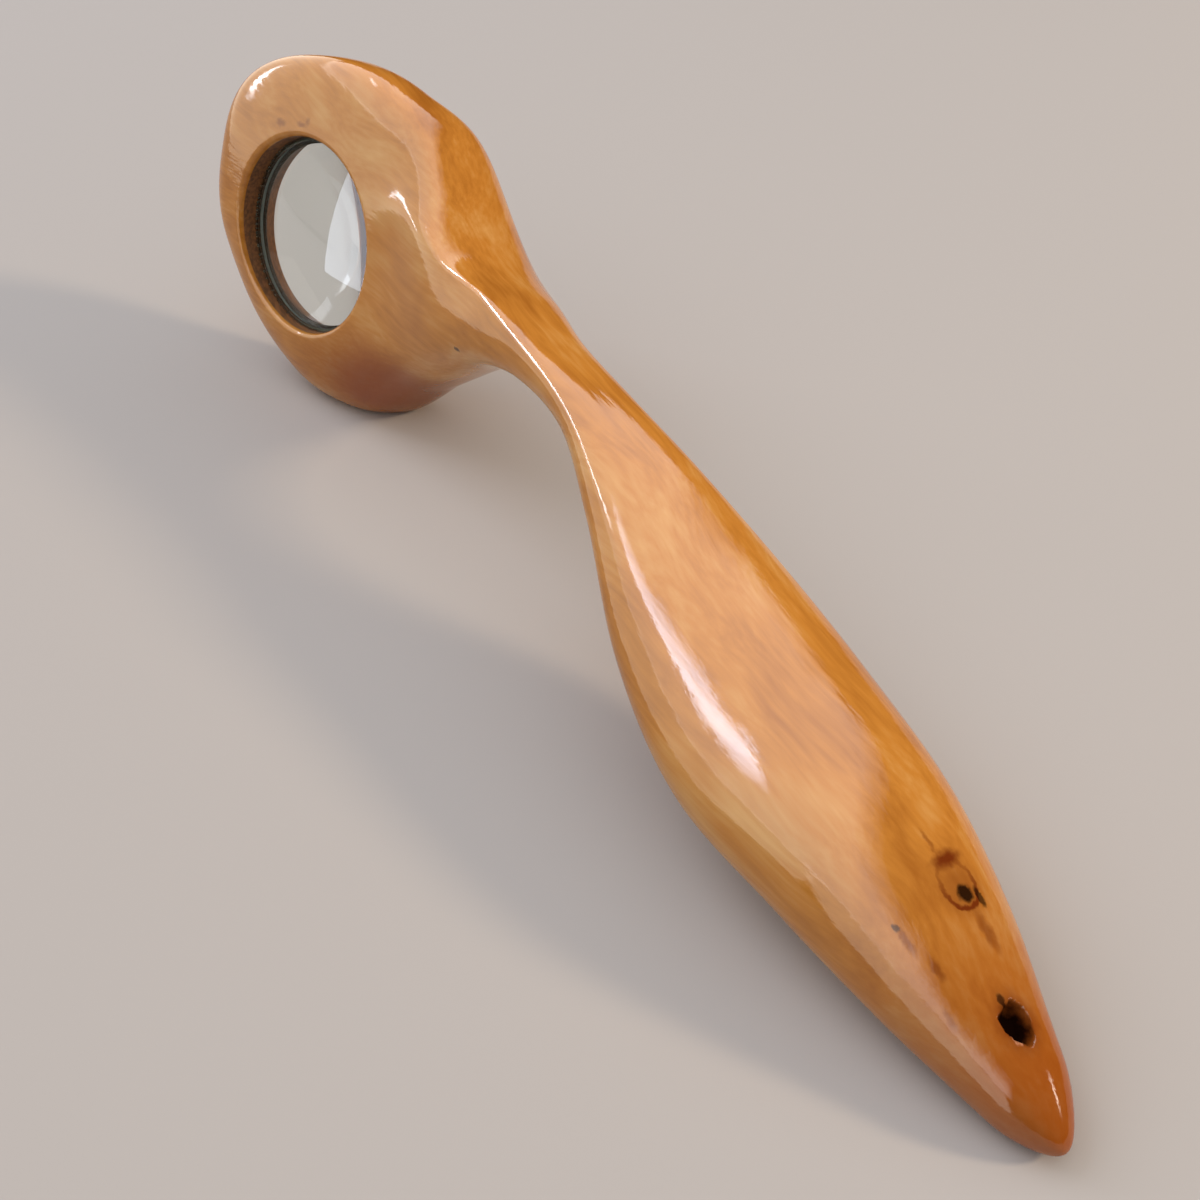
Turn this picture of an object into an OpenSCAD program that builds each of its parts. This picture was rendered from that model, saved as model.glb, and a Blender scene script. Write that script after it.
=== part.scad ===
// Hand magnifier carved from one curved piece of knotty timber, with a round lens let into its head.
// It lies on the underside of its head and on its tip, with the thin neck arched between them.
// X runs from the head to the tip, the lens looks towards -Y, and Z is up.

/* [Overall] */
// Length from the far side of the head to the tip
overall_l = 241.5; // [230:0.5:258]

/* [Head] */
// Height of the head, measured along its lean
head_h = 66; // [64:0.5:68]
// Thickness of the head
head_t = 22; // [20:0.5:26]
// Angle by which the head leans back
head_lean = 19; // [15:0.5:22]
// Length over which the far end of the head rounds off, seen from the front
head_end_l = 39; // [36:0.5:42]
// Length over which the same end rounds off, seen from above
head_edge_l = 10; // [8:0.5:12]
// Power of the rounding of a section of the head; a higher one is blunter
head_power = 2.8; // [2.6:0.1:3.4]
// Height of the heel under the back of the head, on which it stands
heel_h = 3; // [2:0.25:4]

/* [Neck] */
// Width of the neck
neck_w = 13; // [11:0.5:16]
// Depth of the neck without its ridge
neck_h = 7.5; // [6.5:0.5:12]
// Height of the middle of the neck over the table
neck_rise = 36.5; // [33:0.5:40]

/* [Handle] */
// Width of the handle where it is widest
handle_w = 35; // [30:0.5:40]
// Thickness of the handle where it is thickest
handle_t = 22; // [18:0.5:26]
// Height of the middle of the handle over the table where it is widest
handle_rise = 17; // [15:0.5:20]
// Power of the rounding of a section of the handle
handle_power = 2.3; // [2:0.05:2.6]
// Length over which the tip rounds off
tip_end_l = 8; // [5:0.5:14]

/* [Ridge] */
// Height of the ridge that is left along the top of the neck
ridge_h = 2.7; // [0:0.1:4]
// Angle on each side of the crest over which the ridge fades, along the neck
ridge_spread = 24; // [16:1:36]
// Angle over which the crest itself is rounded, along the neck
ridge_round = 7; // [4:1:12]

/* [Lens] */
// Diameter of the lens
lens_d = 38; // [32:0.5:39]
// Thickness of the lens in its middle
lens_t = 7.3; // [5:0.1:9]
// Thickness of the lens at its edge
lens_edge_t = 3; // [2:0.1:4]
// Distance from the far side of the head to the middle of the lens
lens_x = 30.5; // [30:0.5:33]
// Height of the middle of the lens over the table
lens_rise = 30.3; // [29.5:0.1:32]
// Angle by which the lens turns towards the handle
lens_turn = 17; // [12:0.5:20]
// Angle by which the lens looks up
lens_tilt = 19; // [14:0.5:22]

/* [Seat] */
// Distance of the lens in front of the middle of the wood
lens_ahead = 4.5; // [3:0.25:5]
// Width of the ledge behind the lens
ledge_w = 1.5; // [1.5:0.25:3]
// Distance behind the middle of the lens at which the opening starts to flare
flare_from = 6; // [5:0.5:9]
// Angle by which the opening behind the lens flares
flare_angle = 42; // [20:1:44]
// Gap around the edge of the lens
lens_gap = 0.1; // [0.05:0.05:0.3]
// Thickness of the cement between the ledge and the lens where it is thinnest
bed_t = 0.2; // [0.1:0.05:0.5]
// Width of the bead of cement round the front of the lens
bead_w = 0.8; // [0.4:0.1:1.5]

/* [Resting flats] */
// Depth of the flats under the head and the tip
flat_depth = 0.3; // [0.2:0.1:0.8]

/* [Carving] */
// Number of points round a cross-section
ring_sides = 60; // [36:4:64]
// Spacing of the cross-sections along the piece
ring_step = 4; // [4:0.5:8]

/* [Hidden] */

wood_color = "#C87A28";
glass_color = "#C9D6D8";
cement_color = "#E6DFC8";

// The neck is thinnest at neck_x, and grip(0) to grip(1) run from there to the tip.
neck_x = 110;
function grip(share) = neck_x + share * (overall_l - neck_x);

// Each list below holds pairs: a distance from the far side of the head, and the value there.
middle_y = [
    [0, -4.5], [7, -3.5], [19, -1.5], [29, 1], [41, 4.3], [53, 8.3], [65, 10], [103, 10],
    [grip(0.07), 9.5], [grip(0.2), 7.5], [grip(0.36), 5], [grip(0.52), 3], [grip(0.68), 3],
    [grip(0.81), 2.5], [grip(1), 1]
];
middle_z = [
    [0, 0.62 * head_h], [7, 0.6 * head_h], [19, 0.54 * head_h], [29, 0.505 * head_h],
    [41, 0.47 * head_h], [53, 0.452 * head_h], [65, 0.47 * head_h], [77, neck_rise - 4.5],
    [91, neck_rise - 1], [103, neck_rise], [grip(0.07), neck_rise - 1],
    [grip(0.2), 0.85 * neck_rise], [grip(0.36), 1.32 * handle_rise], [grip(0.52), handle_rise],
    [grip(0.68), 0.8 * handle_rise], [grip(0.81), 0.56 * handle_rise],
    [grip(0.91), 0.35 * handle_rise], [grip(1), 0.18 * handle_rise]
];
half_width = [
    [0, 0.48 * head_t], [41, 0.5 * head_t], [53, 0.52 * head_t], [65, 0.545 * head_t],
    [77, 0.545 * head_t], [89, 0.77 * neck_w], [103, 0.54 * neck_w], [grip(0.07), 0.5 * neck_w],
    [grip(0.2), 0.285 * handle_w], [grip(0.36), 0.44 * handle_w], [grip(0.52), 0.5 * handle_w],
    [grip(0.68), 0.43 * handle_w], [grip(0.81), 0.33 * handle_w], [grip(0.91), 0.215 * handle_w],
    [grip(1), 0.105 * handle_w]
];
half_height = [
    [0, 0.49 * head_h], [29, 0.5 * head_h], [41, 0.494 * head_h], [53, 0.452 * head_h],
    [65, 0.312 * head_h], [77, 0.182 * head_h], [89, 0.93 * neck_h], [103, 0.53 * neck_h],
    [grip(0.07), 0.48 * neck_h], [grip(0.2), 0.23 * handle_t], [grip(0.36), 0.36 * handle_t],
    [grip(0.52), 0.455 * handle_t], [grip(0.68), 0.5 * handle_t], [grip(0.81), 0.385 * handle_t],
    [grip(0.91), 0.26 * handle_t], [grip(1), 0.16 * handle_t]
];
lean_back = [
    [0, head_lean], [53, head_lean], [77, 0.65 * head_lean], [103, 0.5 * head_lean],
    [grip(0.14), 0], [grip(0.36), -2.5], [grip(0.68), 0], [grip(1), 0]
];
power = [[0, head_power], [53, head_power], [89, handle_power], [overall_l, handle_power]];

// The ridge runs down the front of the neck, and the heel lies under the back of the head.
ridge_height = [
    [0, 0], [41, 0], [53, 0.25 * ridge_h], [65, 0.55 * ridge_h], [77, 0.85 * ridge_h], [97, ridge_h],
    [grip(0.07), 0.85 * ridge_h], [grip(0.2), 0.67 * ridge_h], [grip(0.36), 0.4 * ridge_h],
    [grip(0.52), 0], [grip(1), 0]
];
heel_height = [
    [0, 0], [15, 0], [29, 0.75 * heel_h], [41, heel_h], [53, 0.75 * heel_h], [65, 0], [overall_l, 0]
];

// Share of the ridge's angles that is left: it is keener where the section is bigger.
ridge_share = [[0, 0.45], [65, 0.5], [77, 0.62], [97, 0.9], [grip(0.07), 1], [grip(1), 1]];

// Angles of the ridge's crest and of the heel, round the section from +Y and over the top
ridge_angle = [
    [0, 103], [59, 110], [77, 120], [89, 124], [103, 138], [grip(0.07), 151],
    [grip(0.2), 153], [grip(0.36), 150], [grip(1), 150]
];
heel_angle = -84;
heel_spread = 12;
heel_round = 10;

// Slope of the smooth curve through the pairs of a list, at pair i
function slope(list, i) =
    let(a = list[max(i - 1, 0)], b = list[min(i + 1, len(list) - 1)])
    (b[1] - a[1]) / (b[0] - a[0]);

// Value at x of the smooth curve through the pairs of a list
function along(list, x, i = 0) =
    x > list[i + 1][0] && i < len(list) - 2 ? along(list, x, i + 1) :
    let(span = list[i + 1][0] - list[i][0], t = (x - list[i][0]) / span)
    (2 * t ^ 3 - 3 * t ^ 2 + 1) * list[i][1] + (t ^ 3 - 2 * t ^ 2 + t) * span * slope(list, i)
    + (3 * t ^ 2 - 2 * t ^ 3) * list[i + 1][1] + (t ^ 3 - t ^ 2) * span * slope(list, i + 1);

// Share of the full section that is left at x, from 0 at each end to 1 where the rounding is over
function rounding(t) = sqrt(1 - min(max(t, 0), 1) ^ 2);
function fullness(x, end_l) = rounding(1 - x / end_l) * rounding(1 - (overall_l - x) / tip_end_l);

// Height at an angle off the crest of a swelling that fades to both sides
function swelling(off, spread, round_l) =
    exp((round_l - sqrt(((off + 540) % 360 - 180) ^ 2 + round_l ^ 2)) / spread);

// Points of the cross-section at x: a rounded oval that leans back, with its ridge and heel
function ring(x) =
    let(
        w = along(half_width, x) * fullness(x, head_edge_l),
        h = along(half_height, x) * fullness(x, head_end_l),
        y = along(middle_y, x),
        z = along(middle_z, x),
        lean = along(lean_back, x),
        shape = 2 / along(power, x),
        ridge = max(along(ridge_height, x), 0),
        heel = max(along(heel_height, x), 0),
        crest = along(ridge_angle, x),
        keen = along(ridge_share, x)
    )
    [for (i = [0 : ring_sides - 1])
        let(
            a = 360 * i / ring_sides + lean,
            u = w * sign(cos(a)) * abs(cos(a)) ^ shape,
            v = h * sign(sin(a)) * abs(sin(a)) ^ shape,
            p = [u * cos(lean) + v * sin(lean), v * cos(lean) - u * sin(lean)],
            at = atan2(p[1], p[0]),
            more = ridge * swelling(at - crest, keen * ridge_spread, keen * ridge_round)
                + heel * swelling(at - heel_angle, heel_spread, heel_round),
            q = p * (1 + more / norm(p))
        )
        [x, y + q[0], z + q[1]]];

// Places of the cross-sections, which crowd together where the ends round off
end_steps = 12;
tip_steps = 6;
middle_steps = ceil((overall_l - head_end_l - tip_end_l) / ring_step);
middle_l = overall_l - head_end_l - tip_end_l;
places = concat(
    [for (i = [1 : end_steps - 1]) head_end_l * (1 - cos(90 * i / end_steps))],
    [for (i = [0 : middle_steps - 1]) head_end_l + middle_l * i / middle_steps],
    [for (i = [0 : tip_steps - 1]) overall_l - tip_end_l * (1 - sin(90 * i / tip_steps))]
);
head_point = [0, along(middle_y, 0), along(middle_z, 0)];
tip_point = [overall_l, along(middle_y, overall_l), along(middle_z, overall_l)];
rings = [for (x = places) ring(x)];
skin = concat([head_point], [for (r = rings) each r], [tip_point]);

// The table touches the head and the tip, and the part stands in the middle of its own length and width.
head_low = min([for (p = skin) if (p[0] < neck_x) p[2]]);
tip_low = min([for (p = skin) if (p[0] > neck_x) p[2]]);
table_z = max(head_low, tip_low) + flat_depth;
front_y = min([for (p = skin) p[1]]);
back_y = max([for (p = skin) p[1]]);
origin = [overall_l / 2, (front_y + back_y) / 2, table_z];

// Triangles between neighbouring sections, and a fan at each end
function skin_faces(n, count) = concat(
    [for (i = [0 : n - 1]) [0, 1 + i, 1 + (i + 1) % n]],
    [for (r = [0 : count - 2], i = [0 : n - 1], half = [0, 1])
        let(
            a = 1 + r * n + i,
            b = 1 + r * n + (i + 1) % n
        )
        half == 0 ? [a, a + n, b] : [b, a + n, b + n]],
    [for (i = [0 : n - 1])
        let(last = 1 + (count - 1) * n)
        [last + i, last + n, last + (i + 1) % n]]
);

// Places along the axis of the lens, measured from its middle towards the front
lens_r = lens_d / 2;
bore_r = lens_r + lens_gap;
clear_r = lens_r - ledge_w;
lens_bulge = (lens_t - lens_edge_t) / 2;
ball_r = (lens_r ^ 2 + lens_bulge ^ 2) / (2 * lens_bulge);
ball_offset = ball_r - lens_t / 2;
ledge_z = ball_offset - sqrt(ball_r ^ 2 - clear_r ^ 2) - bed_t;
bead_overlap = 0.2;
through = 40;
flare_l = 20;

module in_place() {
    translate(-origin) children();
}

// Local +Z is the axis of the lens, pointing out of the front of the head.
module at_lens() {
    in_place()
        translate([lens_x, along(middle_y, lens_x), table_z + lens_rise])
            rotate([90 - lens_tilt, 0, lens_turn])
                translate([0, 0, lens_ahead])
                    children();
}

module tube(outer_r, inner_r, bottom, top) {
    translate([0, 0, bottom])
        difference() {
            cylinder(r = outer_r, h = top - bottom, $fn = 96);
            translate([0, 0, -1]) cylinder(r = inner_r, h = top - bottom + 2, $fn = 96);
        }
}

module ball(side) {
    translate([0, 0, -side * ball_offset]) sphere(r = ball_r, $fn = 360);
}

module wooden_body() {
    color(wood_color)
        difference() {
            in_place() polyhedron(points = skin, faces = skin_faces(ring_sides, len(places)));
            at_lens() translate([0, 0, ledge_z]) cylinder(r = bore_r, h = through, $fn = 96);
            at_lens() translate([0, 0, -through]) cylinder(r = clear_r, h = 2 * through, $fn = 96);
            at_lens()
                translate([0, 0, -flare_from - flare_l])
                    cylinder(r1 = clear_r + flare_l * tan(flare_angle), r2 = clear_r, h = flare_l, $fn = 96);
            translate([-overall_l, -overall_l, -through]) cube([2 * overall_l, 2 * overall_l, through]);
        }
}

module lens() {
    color(glass_color, 0.5)
        at_lens()
            intersection() {
                ball(1);
                ball(-1);
                translate([0, 0, -lens_t / 2]) cylinder(r = lens_r, h = lens_t, $fn = 96);
            }
}

module seat_cement() {
    color(cement_color)
        at_lens()
            difference() {
                tube(bore_r, clear_r, ledge_z, -lens_edge_t / 2);
                ball(-1);
            }
}

module rim_cement() {
    color(cement_color)
        at_lens()
            difference() {
                tube(bore_r, bore_r - bead_w, lens_edge_t / 2 - bead_overlap, lens_edge_t / 2 + bead_w);
                ball(1);
            }
}

wooden_body();
lens();
seat_cement();
rim_cement();
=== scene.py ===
"""Hand magnifier carved from one curved piece of knotty timber, with a round lens let into its head."""
import math

import bpy
import numpy as np
from bpy.props import FloatProperty, FloatVectorProperty, IntProperty, PointerProperty
from mathutils import Matrix, Vector


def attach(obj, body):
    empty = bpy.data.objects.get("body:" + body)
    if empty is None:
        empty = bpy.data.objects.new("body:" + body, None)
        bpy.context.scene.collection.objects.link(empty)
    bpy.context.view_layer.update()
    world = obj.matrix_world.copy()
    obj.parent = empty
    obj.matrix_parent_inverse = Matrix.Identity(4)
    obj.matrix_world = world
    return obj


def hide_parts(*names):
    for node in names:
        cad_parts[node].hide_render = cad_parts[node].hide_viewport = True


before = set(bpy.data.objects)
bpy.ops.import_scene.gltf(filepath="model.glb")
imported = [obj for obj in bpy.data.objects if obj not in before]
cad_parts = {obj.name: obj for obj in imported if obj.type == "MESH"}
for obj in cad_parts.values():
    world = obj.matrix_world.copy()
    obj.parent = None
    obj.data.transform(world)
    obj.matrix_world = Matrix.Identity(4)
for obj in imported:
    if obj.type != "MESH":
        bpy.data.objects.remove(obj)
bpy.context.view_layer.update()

bl_info = {
    "name": "Carved Hand Magnifier",
    "version": (1, 0, 0),
    "blender": (4, 5, 0),
    "location": "View3D > Sidebar > Magnifier",
    "description": "Builds a hand magnifier carved from one piece of timber, and a stage to look at it",
    "category": "Add Mesh",
}

MM = 0.001


def srgb(text):
    """Linear red, green and blue of an sRGB hex colour."""
    shares = [int(text[i:i + 2], 16) / 255 for i in (1, 3, 5)]
    return [c / 12.92 if c <= 0.04045 else ((c + 0.055) / 1.055) ** 2.4 for c in shares]


# Sizes and colours

def length(name, description, default):
    """A size in millimetres, kept in metres."""
    return FloatProperty(name=name, description=description, default=default * MM, min=0, unit="LENGTH")


def angle(name, description, default):
    """An angle in degrees, kept in radians."""
    return FloatProperty(
        name=name, description=description, default=math.radians(default), unit="ROTATION")


def colour(name, description, default):
    """A colour given as an sRGB hex value."""
    return FloatVectorProperty(
        name=name, description=description, default=srgb(default), size=3, min=0, max=1, subtype="COLOR")


class BodySizes(bpy.types.PropertyGroup):
    overall_l: length("Overall length", "From the far side of the head to the tip", 241.5)
    head_h: length("Head height", "Height of the head, measured along its lean", 66)
    head_t: length("Head thickness", "Thickness of the head", 22)
    head_lean: angle("Head lean", "Angle by which the head leans back", 19)
    head_end_l: length("Head end", "Length over which the far end rounds off, seen from the front", 39)
    head_edge_l: length("Head edge", "Length over which the far end rounds off, seen from above", 10)
    head_power: FloatProperty(name="Head power", description="A higher power is blunter", default=2.8)
    heel_h: length("Heel height", "Height of the heel under the back of the head", 3)
    neck_w: length("Neck width", "Width of the neck", 13)
    neck_h: length("Neck depth", "Depth of the neck without its ridge", 7.5)
    neck_rise: length("Neck rise", "Height of the middle of the neck over the table", 36.5)
    handle_w: length("Handle width", "Width of the handle where it is widest", 35)
    handle_t: length("Handle thickness", "Thickness of the handle where it is thickest", 22)
    handle_rise: length("Handle rise", "Height of the middle of the handle where it is widest", 17)
    handle_power: FloatProperty(
        name="Handle power", description="A higher power is blunter", default=2.3)
    tip_end_l: length("Tip end", "Length over which the tip rounds off", 8)
    ridge_h: length("Ridge height", "Height of the ridge along the top of the neck", 2.7)
    ridge_spread: angle("Ridge spread", "Angle on each side over which the ridge fades", 24)
    ridge_round: angle("Ridge rounding", "Angle over which the crest itself is rounded", 7)
    lip_r: length("Lip rounding", "Radius by which the mouth of the seat is rounded", 1.3)
    pit_l: length("Pit length", "Length of the pit of the open knot", 5)
    pit_w: length("Pit width", "Width of the pit of the open knot", 3.6)
    pit_depth: length("Pit depth", "Depth of the pit of the open knot", 2.6)
    back_lip_r: length("Back lip rounding", "Radius by which the opening behind the lens is rounded", 1)
    flat_depth: length("Flat depth", "Depth of the flats under the head and the tip", 0.3)
    step: length("Step", "Spacing of the cross-sections that are drawn", 0.55)
    sides: IntProperty(name="Sides", description="Number of points round a cross-section", default=240)


class LensSizes(bpy.types.PropertyGroup):
    lens_d: length("Diameter", "Diameter of the lens", 38)
    lens_t: length("Thickness", "Thickness of the lens in its middle", 7.3)
    lens_edge_t: length("Edge thickness", "Thickness of the lens at its edge", 3)
    bevel: length("Bevel", "Width of the ground bevel round each face", 0.35)
    lens_x: length("Place", "From the far side of the head to the middle of the lens", 30.5)
    lens_rise: length("Rise", "Height of the middle of the lens over the table", 30.3)
    lens_turn: angle("Turn", "Angle by which the lens turns towards the handle", 17)
    lens_tilt: angle("Tilt", "Angle by which the lens looks up", 19)
    lens_ahead: length("Ahead", "Distance of the lens in front of the middle of the wood", 4.5)
    ledge_w: length("Ledge width", "Width of the ledge behind the lens", 1.5)
    flare_from: length("Flare start", "Distance behind the lens's middle at which the opening flares", 6)
    flare_angle: angle("Flare", "Angle by which the opening behind the lens flares", 42)
    lens_gap: length("Gap", "Gap around the edge of the lens", 0.1)
    bed_t: length("Bed", "Thickness of the cement behind the lens where it is thinnest", 0.2)


class Colours(bpy.types.PropertyGroup):
    wood_pale: colour("Pale wood", "Pale figure of the lacquered wood", "#DCA55E")
    wood_honey: colour("Honey wood", "Main colour of the lacquered wood", "#CC8838")
    wood_deep: colour("Deep wood", "Dark figure of the lacquered wood", "#B06E28")
    wood_tip: colour("Tip wood", "Redder heartwood at the tip", "#94400A")
    # Painted shade and reflected light: a reddish darkening of the wood under the head
    ruddy_shade_under_head: colour("Ruddy wood", "Reddish wood under the head", "#8E3F14")
    wood_bore: colour("Turned wood", "Wall of the seat behind its lip", "#8A5A30")
    wood_bare: colour("Bare wood", "Wall of the open knot's pit, where no lacquer reached", "#C98A66")
    # The knot colour also serves as the painted shade deep in the open knot's pit
    knot: colour("Knot", "Heart of a knot", "#1C0C06")
    knot_edge: colour("Knot edge", "Stained wood round a knot", "#77340F")
    glass: colour("Glass", "Tint of the lens", "#F1F6F3")
    glass_edge: colour("Ground edge", "Ground edge of the lens", "#B9C2BA")
    cement: colour("Clear cement", "Clear cement that has aged a little", "#C9CDBE")
    floor: colour("Floor", "Plain pale floor", "#BEBCBB")


class Magnifier(bpy.types.PropertyGroup):
    body: PointerProperty(type=BodySizes)
    lens: PointerProperty(type=LensSizes)
    colours: PointerProperty(type=Colours)


# The shape of the wood: distances in millimetres, measured from the far side of the head

# The neck is thinnest at NECK_X, and the heel lies at an angle round the section from +Y.
NECK_X = 110
HEEL_ANGLE, HEEL_SPREAD, HEEL_ROUND = -84, 12, 10

# Sections in the rounding of each end, and rows of points in each rounded lip
END_STEPS = 48
LIP_STEPS = 8

# The CAD model's own coarser sections, whose outermost points give the frame its origin
CAD_STEP, CAD_SIDES = 4, 60
CAD_END_STEPS, CAD_TIP_STEPS = 12, 6

# The pit of the open knot: place and outward direction in the frame of the CAD model, spacing of
# the sections across it, and how far to each side they reach
PIT_AT = (108.0, -1.0, 11.85)
PIT_NORMAL = (0.43, 0.05, 0.9)
PIT_STEP, PIT_REACH = 0.17, 4.2

# The level direction towards which the normals on the head's crest are turned, and by how much
CREST_ASIDE = np.array((0.52, 0.854, 0))
CREST_TURN = 0.27


def grip(share, overall_l):
    """Place between the thinnest part of the neck, at 0, and the tip, at 1."""
    return NECK_X + share * (overall_l - NECK_X)


def stations(body):
    """The smooth curves that the carving follows, as pairs of a distance and the value there."""
    head_h, head_t, head_lean, head_power = body.head_h, body.head_t, body.head_lean, body.head_power
    neck_w, neck_h, neck_rise = body.neck_w, body.neck_h, body.neck_rise
    handle_w, handle_t, handle_power = body.handle_w, body.handle_t, body.handle_power
    handle_rise, heel_h = body.handle_rise, body.heel_h
    ridge_h, ridge_spread = body.ridge_h, body.ridge_spread
    grips = [grip(share, body.overall_l) for share in (0.07, 0.14, 0.2, 0.36, 0.52, 0.68, 0.81, 0.91, 1)]
    g07, g14, g20, g36, g52, g68, g81, g91, tip = grips
    return {
        "y": [
            (0, -4.5), (7, -3.5), (19, -1.5), (29, 1), (41, 4.3), (53, 8.3), (65, 10), (103, 10),
            (g07, 9.5), (g20, 7.5), (g36, 5), (g52, 3), (g68, 3), (g81, 2.5), (tip, 1)],
        "z": [
            (0, 0.62 * head_h), (7, 0.6 * head_h), (19, 0.54 * head_h), (29, 0.505 * head_h),
            (41, 0.47 * head_h), (53, 0.452 * head_h), (65, 0.47 * head_h), (77, neck_rise - 4.5),
            (91, neck_rise - 1), (103, neck_rise), (g07, neck_rise - 1), (g20, 0.85 * neck_rise),
            (g36, 1.32 * handle_rise), (g52, handle_rise), (g68, 0.8 * handle_rise),
            (g81, 0.56 * handle_rise), (g91, 0.35 * handle_rise), (tip, 0.18 * handle_rise)],
        "width": [
            (0, 0.48 * head_t), (41, 0.5 * head_t), (53, 0.52 * head_t), (65, 0.545 * head_t),
            (77, 0.545 * head_t), (89, 0.77 * neck_w), (103, 0.54 * neck_w), (g07, 0.5 * neck_w),
            (g20, 0.285 * handle_w), (g36, 0.44 * handle_w), (g52, 0.5 * handle_w),
            (g68, 0.43 * handle_w), (g81, 0.33 * handle_w), (g91, 0.215 * handle_w),
            (tip, 0.105 * handle_w)],
        "height": [
            (0, 0.49 * head_h), (29, 0.5 * head_h), (41, 0.494 * head_h), (53, 0.452 * head_h),
            (65, 0.312 * head_h), (77, 0.182 * head_h), (89, 0.93 * neck_h), (103, 0.53 * neck_h),
            (g07, 0.48 * neck_h), (g20, 0.23 * handle_t), (g36, 0.36 * handle_t),
            (g52, 0.455 * handle_t), (g68, 0.5 * handle_t), (g81, 0.385 * handle_t),
            (g91, 0.26 * handle_t), (tip, 0.16 * handle_t)],
        "lean": [
            (0, head_lean), (53, head_lean), (77, 0.65 * head_lean), (103, 0.5 * head_lean),
            (g14, 0), (g36, -2.5), (g68, 0), (tip, 0)],
        "power": [(0, head_power), (53, head_power), (89, handle_power), (tip, handle_power)],
        "ridge": [
            (0, 0), (41, 0), (53, 0.25 * ridge_h), (65, 0.55 * ridge_h), (77, 0.85 * ridge_h),
            (97, ridge_h), (g07, 0.85 * ridge_h), (g20, 0.67 * ridge_h), (g36, 0.4 * ridge_h),
            (g52, 0), (tip, 0)],
        "fade": [
            (0, 0.45 * ridge_spread), (65, 0.5 * ridge_spread), (77, 0.62 * ridge_spread),
            (97, 0.9 * ridge_spread), (g07, ridge_spread), (tip, ridge_spread)],
        "heel": [
            (0, 0), (15, 0), (29, 0.75 * heel_h), (41, heel_h), (53, 0.75 * heel_h), (65, 0),
            (tip, 0)],
        "crest": [
            (0, 103), (59, 110), (77, 120), (89, 124), (103, 138), (g07, 151), (g20, 153), (g36, 150),
            (tip, 150)],
    }


class Plain:
    """The sizes of a property group as plain numbers, in millimetres and degrees."""

    def __init__(self, group):
        for name, prop in group.bl_rna.properties.items():
            if prop.type not in {"FLOAT", "INT"}:
                continue
            value = getattr(group, name)
            if prop.unit == "LENGTH":
                value /= MM
            if prop.unit == "ROTATION":
                value = math.degrees(value)
            setattr(self, name, value)


def slope(pairs, i):
    """Slope at pair i of the smooth curve through the pairs."""
    a, b = pairs[max(i - 1, 0)], pairs[min(i + 1, len(pairs) - 1)]
    return (b[1] - a[1]) / (b[0] - a[0])


def along(pairs, x):
    """Value at x of the smooth curve through the pairs."""
    i = 0
    while i < len(pairs) - 2 and x > pairs[i + 1][0]:
        i += 1
    span = pairs[i + 1][0] - pairs[i][0]
    t = (x - pairs[i][0]) / span
    return (
        (2 * t ** 3 - 3 * t ** 2 + 1) * pairs[i][1] + (t ** 3 - 2 * t ** 2 + t) * span * slope(pairs, i)
        + (3 * t ** 2 - 2 * t ** 3) * pairs[i + 1][1] + (t ** 3 - t ** 2) * span * slope(pairs, i + 1))


def rounding(t):
    """Share of the full section that is left, from 1 where the rounding starts to 0 at the end."""
    return math.sqrt(1 - min(max(t, 0), 1) ** 2)


def swelling(off, spread, round_l):
    """Share of a swelling's height that is left at an angle off its crest."""
    off = (off + 540) % 360 - 180
    return np.exp((round_l - np.sqrt(off ** 2 + round_l ** 2)) / spread)


def section(body, curves, x, sides):
    """Points of the cross-section at x: a rounded oval that leans back, with its ridge and heel."""
    at = {name: along(pairs, x) for name, pairs in curves.items()}
    tip = rounding(1 - (body.overall_l - x) / body.tip_end_l)
    w = at["width"] * rounding(1 - x / body.head_edge_l) * tip
    h = at["height"] * rounding(1 - x / body.head_end_l) * tip
    lean = math.radians(at["lean"])
    a = 2 * np.pi * np.arange(sides) / sides + lean
    shape = 2 / at["power"]
    u = w * np.sign(np.cos(a)) * np.abs(np.cos(a)) ** shape
    v = h * np.sign(np.sin(a)) * np.abs(np.sin(a)) ** shape
    p = np.stack([u * math.cos(lean) + v * math.sin(lean), v * math.cos(lean) - u * math.sin(lean)], 1)
    turn = np.degrees(np.arctan2(p[:, 1], p[:, 0]))
    ridge_round = body.ridge_round * at["fade"] / body.ridge_spread
    ridge = max(at["ridge"], 0) * swelling(turn - at["crest"], at["fade"], ridge_round)
    heel = max(at["heel"], 0) * swelling(turn - HEEL_ANGLE, HEEL_SPREAD, HEEL_ROUND)
    q = p * (1 + (ridge + heel) / np.linalg.norm(p, axis=1))[:, None]
    return np.column_stack([np.full(sides, x), at["y"] + q[:, 0], at["z"] + q[:, 1]])


def places(body, step, end_steps, tip_steps):
    """Places of the cross-sections, which crowd together where the ends round off."""
    middle_l = body.overall_l - body.head_end_l - body.tip_end_l
    count = math.ceil(middle_l / step)
    head = [body.head_end_l * (1 - math.cos(math.pi / 2 * i / end_steps)) for i in range(1, end_steps)]
    middle = [body.head_end_l + middle_l * i / count for i in range(count)]
    shares = [1 - math.sin(math.pi / 2 * i / tip_steps) for i in range(tip_steps)]
    return head + middle + [body.overall_l - body.tip_end_l * share for share in shares]


def drawn_places(body):
    """Places of the sections that are drawn, which lie closer across the pit of the open knot."""
    pit_x = PIT_AT[0] + body.overall_l / 2
    count = math.floor(PIT_REACH / PIT_STEP)
    across = [pit_x + PIT_STEP * i for i in range(-count, count + 1)]
    apart = [x for x in places(body, body.step, END_STEPS, END_STEPS) if abs(x - pit_x) > PIT_REACH]
    return sorted(apart + across)


def end_points(body, curves):
    """The points in which the skin closes, at the head and at the tip."""
    return [np.array([x, along(curves["y"], x), along(curves["z"], x)]) for x in (0, body.overall_l)]


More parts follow.
